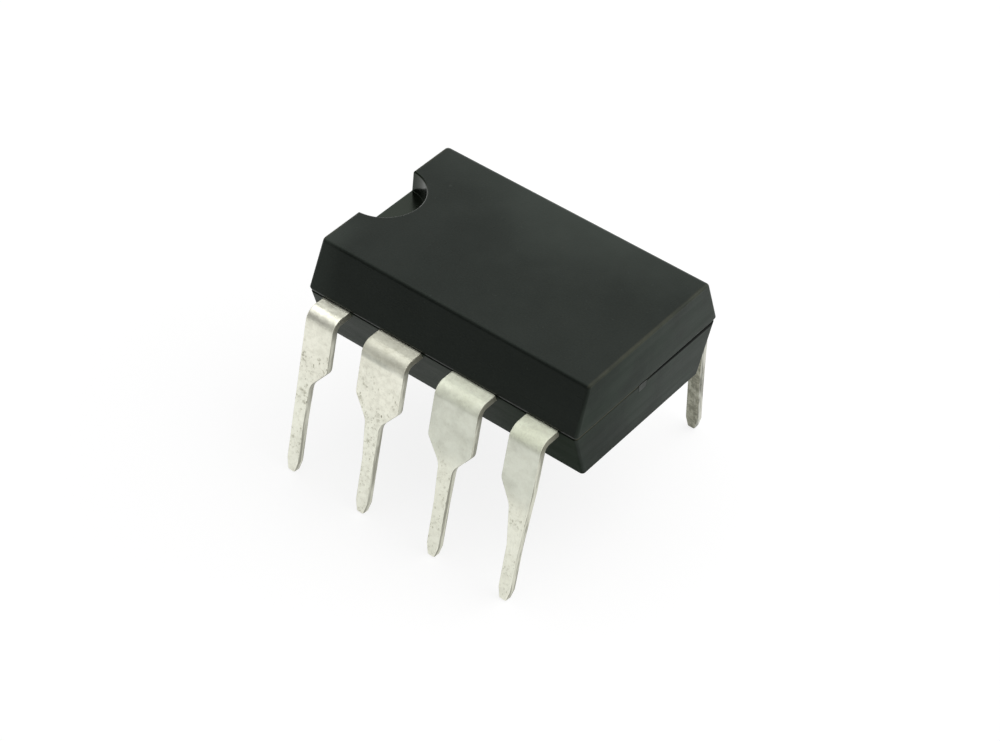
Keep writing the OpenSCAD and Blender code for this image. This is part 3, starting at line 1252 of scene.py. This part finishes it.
        radius = graph.math("ADD", given["Outer radius"], flat[2])
        share = graph.math("DIVIDE", graph.math("MAXIMUM", flat[1], 0.0), given["Bend length"])
        angle = graph.math("MULTIPLY", graph.math("MINIMUM", share, 1.0), given["Bend angle"])
        leg = graph.math("MAXIMUM", graph.math("SUBTRACT", flat[1], given["Bend length"]), 0.0)
        inside = graph.math("MINIMUM", flat[1], 0.0)
        out = graph.math("ADD", given["Bend start"], inside)
        out = graph.math("MULTIPLY_ADD", radius, graph.math("SINE", angle), out)
        out = graph.math("MULTIPLY_ADD", leg, graph.math("COSINE", given["Bend angle"]), out)
        down = graph.math("MULTIPLY", radius, graph.math("COSINE", angle))
        leg_drop = graph.math("MULTIPLY", leg, graph.math("SINE", given["Bend angle"]))
        down = graph.math("SUBTRACT", down, leg_drop)
        up = graph.math("ADD", graph.math("SUBTRACT", down, given["Outer radius"]), given["Parting"])
        up = graph.math("MAXIMUM", up, 0.0)
        across = graph.math("MULTIPLY_ADD", flat[0], given["Row"], given["Place"])
        across = graph.math("MULTIPLY_ADD", leg, given["Lean"], across)
        formed = graph.add(
            "ShaderNodeCombineXYZ", {0: across, 1: graph.math("MULTIPLY", out, given["Side"]), 2: up}
        )
        bent = graph.add(
            "GeometryNodeSetPosition", {"Geometry": closed.outputs[0], "Position": formed.outputs[0]}
        )
        real = graph.add("GeometryNodeRealizeInstances", {"Geometry": bent.outputs[0]})
        dressed = graph.add(
            "GeometryNodeSetMaterial", {"Geometry": real.outputs[0], "Material": given["Finish"]}
        )
        graph.add("NodeGroupOutput", {"Geometry": dressed.outputs[0]})
        return tree

    def lead(self, number: int, former: bpy.types.NodeTree) -> bpy.types.Object:
        """Stamps, forms and dresses one lead.

        Args:
            number: The lead's number, from 1 to 8.
            former: The tree that forms it.

        Returns:
            The piece.
        """
        column = number if number <= ROW_LEADS else 2 * ROW_LEADS + 1 - number
        form = LeadForm.END if column in (1, ROW_LEADS) else LeadForm.INNER
        row = 1 if column <= ROW_LEADS // 2 else -1
        side = -1 if number <= ROW_LEADS else 1
        from_middle = (column - (ROW_LEADS + 1) / 2) * self.pitch
        material = self.finishes[number].material(self.parting)
        piece = self.blank(form, self.flares[number - 1][::row])
        piece.name = f"tinned_lead_{number}"
        modifier = piece.modifiers.new("lead_former", "NODES")
        modifier.node_group = former
        bend_angle = self.bend_angle - math.radians(self.splay_changes[number - 1])
        values = {
            "Thickness": self.thickness,
            "Outer radius": self.outer_radius,
            "Bend start": self.bend_y,
            "Bend angle": bend_angle,
            "Bend length": self.bend_length * bend_angle / self.bend_angle,
            "Parting": self.parting,
            "Row": row,
            "Side": side,
            "Place": from_middle + self.frame_shift,
            "Lean": self.leans[number - 1],
            "Finish": material,
        }
        for item in former.interface.items_tree:
            if item.in_out == "INPUT" and item.name in values:
                value = values[item.name]
                modifier[item.identifier] = float(value) if item.name != "Finish" else value
        settle(piece)
        outward(piece)
        soften(piece, self.edge_rounding, 2, 35)
        return place_piece(piece, (f"lead_{number}",))

    def build(self) -> list[bpy.types.Object]:
        """All eight leads."""
        former = self.former()
        return [self.lead(number, former) for number in range(1, 2 * ROW_LEADS + 1)]


class HiddenWorks:
    """The pieces inside the moulding, which keep their CAD shape and get their finish."""

    finishes = (
        HiddenFinish(
            "frame_copper", (0.56, 0.35, 0.24), (0.42, 0.27, 0.19), 1.0, 0.38, 6.0, 0.004,
            cut_end=(0.030, 0.036, 0.030),
        ),
        HiddenFinish("die_glue", (0.55, 0.55, 0.54), (0.42, 0.42, 0.41), 0.0, 0.5, 14.0, 0.006),
        HiddenFinish("silicon", (0.07, 0.08, 0.11), (0.10, 0.11, 0.16), 0.0, 0.22, 3.0, 0.0005),
        HiddenFinish("bond_gold", (0.83, 0.62, 0.26), (0.75, 0.54, 0.20), 1.0, 0.3, 20.0, 0.001),
    )

    def build(self) -> list[str]:
        """Dresses each kept node and returns their names."""
        materials = {finish.slot: finish.material() for finish in self.finishes}
        names = {"die_pad": "frame_copper", "die_attach": "die_glue", "silicon_die": "silicon"}
        names |= {f"bond_wire_{number}": "bond_gold" for number in range(1, 2 * ROW_LEADS + 1)}
        for node, slot in names.items():
            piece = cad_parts[node]
            piece.data.materials.clear()
            piece.data.materials.append(materials[slot])
        return list(names)


@dataclass(frozen=True)
class Viewpoint:
    """The photograph's camera, in degrees, millimetres and pixels of a picture 1000 wide."""

    azimuth: float = 35.729
    elevation: float = 42.515
    roll: float = 3.573
    distance: float = 74.2392
    right: float = -0.346127
    up: float = -1.866416
    focal: float = 2700.52
    picture_width: float = 1000.0
    sensor: float = 36.0
    aim_over_parting: float = 0.07

    def build(self, parting: float) -> bpy.types.Object:
        """Makes the camera and puts it in charge.

        Args:
            parting: Height of the parting line.

        Returns:
            The camera.
        """
        around, above, roll = (math.radians(angle) for angle in (self.azimuth, self.elevation, self.roll))
        back = Vector((
            math.sin(around) * math.cos(above), -math.cos(around) * math.cos(above), math.sin(above)
        ))
        level = Vector((math.cos(around), math.sin(around), 0))
        upright = back.cross(level)
        right = level * math.cos(roll) + upright * math.sin(roll)
        up = upright * math.cos(roll) - level * math.sin(roll)
        aim = Vector((0, 0, parting + self.aim_over_parting))
        place = (aim + back * self.distance + right * self.right + up * self.up) * MM
        camera = bpy.data.objects.new("viewpoint", bpy.data.cameras.new("viewpoint"))
        camera.data.sensor_fit = "HORIZONTAL"
        camera.data.sensor_width = self.sensor
        camera.data.lens = self.focal * self.sensor / self.picture_width
        camera.data.clip_start = 0.001
        camera.matrix_world = Matrix.Translation(place) @ Matrix((right, up, back)).transposed().to_4x4()
        bpy.context.scene.collection.objects.link(camera)
        bpy.context.scene.camera = camera
        return camera


@dataclass(frozen=True)
class Lamp:
    """A square soft lamp that looks at the chip.

    Its level is how bright a white card facing it at the chip would render from it alone.
    """

    name: str
    direction: tuple[float, float, float]
    distance: float
    size: float
    level: float

    def build(self, aim: Vector) -> None:
        """Hangs the lamp.

        Args:
            aim: The chip's middle, in metres.
        """
        data = bpy.data.lights.new(self.name, "AREA")
        data.shape = "SQUARE"
        data.size = self.size
        data.energy = self.level * math.pi**2 * self.distance**2
        lamp = bpy.data.objects.new(self.name, data)
        away = Vector(self.direction).normalized()
        lamp.location = aim + away * self.distance
        lamp.rotation_euler = away.to_track_quat("Z", "Y").to_euler()
        bpy.context.scene.collection.objects.link(lamp)


@dataclass(frozen=True)
class Studio:
    """A plain white floor, soft lamps and a plain world."""

    floor_radius: float = 0.6
    lamps: tuple[Lamp, ...] = (
        Lamp("window", (0.62, 0.50, 0.60), 0.30, 0.42, 0.75),
        Lamp("ceiling", (-0.10, 0.10, 0.98), 0.35, 0.42, 0.50),
    )
    ambient: float = 0.14
    dark_side: float = 0.12

    def floor(self) -> bpy.types.Object:
        """The floor that the leads stand on."""
        bm = bmesh.new()
        bmesh.ops.create_circle(bm, cap_ends=True, segments=96, radius=self.floor_radius)
        floor = mesh_from(bm, "floor")
        material = bpy.data.materials.new("floor_white")
        material.use_nodes = True
        graph = Graph(material.node_tree)
        path = graph.add("ShaderNodeLightPath").outputs
        shown = graph.math("MAXIMUM", path["Is Glossy Ray"], path["Is Transmission Ray"])
        plain = self.surface(graph, 0.5, 0.0)
        seen = self.surface(graph, 0.24, 0.84)
        mirrored = self.surface(graph, 0.45, 0.60)
        mixed = graph.add("ShaderNodeMixShader", {0: shown, 1: plain, 2: mirrored}).outputs[0]
        mixed = graph.add("ShaderNodeMixShader", {0: path["Is Camera Ray"], 1: mixed, 2: seen}).outputs[0]
        graph.add("ShaderNodeOutputMaterial", {"Surface": mixed})
        floor.data.materials.append(material)
        return floor

    @staticmethod
    def surface(graph: Graph, white: float, glow: float) -> bpy.types.NodeSocket:
        """A matt surface with some light of its own.

        Args:
            graph: The floor's tree.
            white: How much light it throws back.
            glow: How much it adds.

        Returns:
            The shader.
        """
        matt = graph.add("ShaderNodeBsdfDiffuse", {"Color": rgba((white, white, white))}).outputs[0]
        if glow <= 0:
            return matt
        light = graph.add("ShaderNodeEmission", {"Strength": glow}).outputs[0]
        return graph.add("ShaderNodeAddShader", {0: matt, 1: light}).outputs[0]

    @staticmethod
    def rise(graph: Graph, value: bpy.types.NodeSocket, start: float, end: float) -> bpy.types.NodeSocket:
        """Value brought smoothly from start..end to 0..1."""
        inputs = {"Value": value, "From Min": start, "From Max": end}
        return graph.add("ShaderNodeMapRange", inputs, interpolation_type="SMOOTHSTEP").outputs[0]

    def world(self) -> None:
        """White where it is seen or mirrored, with a dark room low in front and low light elsewhere."""
        world = bpy.data.worlds.new("studio")
        world.use_nodes = True
        bpy.context.scene.world = world
        graph = Graph(world.node_tree)
        path = graph.add("ShaderNodeLightPath").outputs
        way = graph.add("ShaderNodeTexCoord").outputs["Generated"]
        towards = graph.add("ShaderNodeSeparateXYZ", {0: way}).outputs
        high = self.rise(graph, towards[2], 0.50, 0.90)
        behind = self.rise(graph, towards[1], -0.50, 0.30)
        white = graph.math("MAXIMUM", high, behind)
        mirrored = graph.math("MULTIPLY_ADD", white, 1.0 - self.dark_side, self.dark_side)
        strength = graph.math("MULTIPLY", path["Is Glossy Ray"], mirrored)
        seen = graph.math("MAXIMUM", path["Is Camera Ray"], path["Is Transmission Ray"])
        strength = graph.math("MAXIMUM", graph.math("MAXIMUM", strength, seen), self.ambient)
        light = graph.add("ShaderNodeBackground", {"Color": rgba((1, 1, 1)), "Strength": strength})
        graph.add("ShaderNodeOutputWorld", {"Surface": light.outputs[0]})

    def build(self, aim: Vector) -> None:
        """Sets the studio up.

        Args:
            aim: The chip's middle, in metres.
        """
        bpy.context.scene.view_settings.view_transform = "Standard"
        self.floor()
        self.world()
        for lamp in self.lamps:
            lamp.build(aim)


def lead_finishes() -> dict[int, TinPlate]:
    """Each lead's own state of its plate and its painted shading, by the lead's number."""
    # Leads 3 and 4: rougher plate, with shoulders painted darker and bends painted lighter for what they
    # mirror.
    shaded_and_rough = {
        "tone": (0.765, 0.785, 0.685),
        "smudge": (0.68, 0.695, 0.605),
        "smudged": 0.6,
        "pitted": 0.5,
        "roughness": 0.42,
        "bend_shading_tone": (0.90, 0.92, 0.81),
        "bend_shading_share": 0.75,
    }
    return {
        1: TinPlate("tin_plate_1", smudged=0.3, pitted=0.75, crease_shading=0.1, mottled=0.2, seed=1.0),
        # Lead 2: painted shade over the top of its bend and a strong painted crease shade.
        2: TinPlate(
            "tin_plate_2", smudged=0.45, pitted=0.8, crease_shading=0.8, strain=0.30,
            bend_shading_tone=(0.66, 0.66, 0.575), bend_shading_share=0.68, mottled=0.24, seed=4.0,
        ),
        3: TinPlate("tin_plate_3", strain=0.32, pits_from=1.7, crease_shading=0.0, seed=7.0, **shaded_and_rough),
        4: TinPlate("tin_plate_4", strain=0.4, pits_from=2.0, crease_shading=0.0, seed=10.0, **shaded_and_rough),
        # Lead 5: inner faces, pits and sheared sides painted darker, for the shade under the chip that they
        # mirror.
        5: TinPlate(
            "tin_plate_5", inner=(0.34, 0.34, 0.27), inner_shade_mottle=(0.19, 0.19, 0.145), pit=(0.26, 0.255, 0.19),
            sheared=(0.13, 0.13, 0.10), burr=(0.60, 0.60, 0.53), pitted=0.8, seed=13.0
        ),
        6: TinPlate("tin_plate_6", seed=16.0),
        7: TinPlate("tin_plate_7", seed=19.0),
        8: TinPlate("tin_plate_8", seed=22.0),
    }


def main() -> None:
    """Builds the chip, its studio and its camera in order."""
    logging.basicConfig(level=logging.INFO, format="%(name)s: %(message)s")
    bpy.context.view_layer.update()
    parting = box_mm("lead_1")[1].z
    low, high = box_mm("package_body")
    Viewpoint().build(parting)
    polished = MouldingCompound(
        name="moulding_compound_polished",
        dark=(0.004, 0.0055, 0.0035),
        light=(0.007, 0.0095, 0.006),
        haze_and_sheen=(0.010, 0.013, 0.009),
        tint=(0.80, 1.0, 0.76),
        gloss=0.37,
        roughness=0.17,
        grain_depth=0.0006,
        haze_and_sheen_level=0.0,
        dulling=0.0,
    )
    body = MouldedPackage(MouldingCompound(), polished, parting).build()
    log.info("%s: %d faces", body.name, len(body.data.polygons))
    for lead in LeadFrame(parting, high.y, lead_finishes()).build():
        log.info("%s: %d faces", lead.name, len(lead.data.polygons))
    for name in HiddenWorks().build():
        log.info("%s: dressed", name)
    Studio().build((low + high) / 2 * MM)


if __name__ == "__main__":
    main()
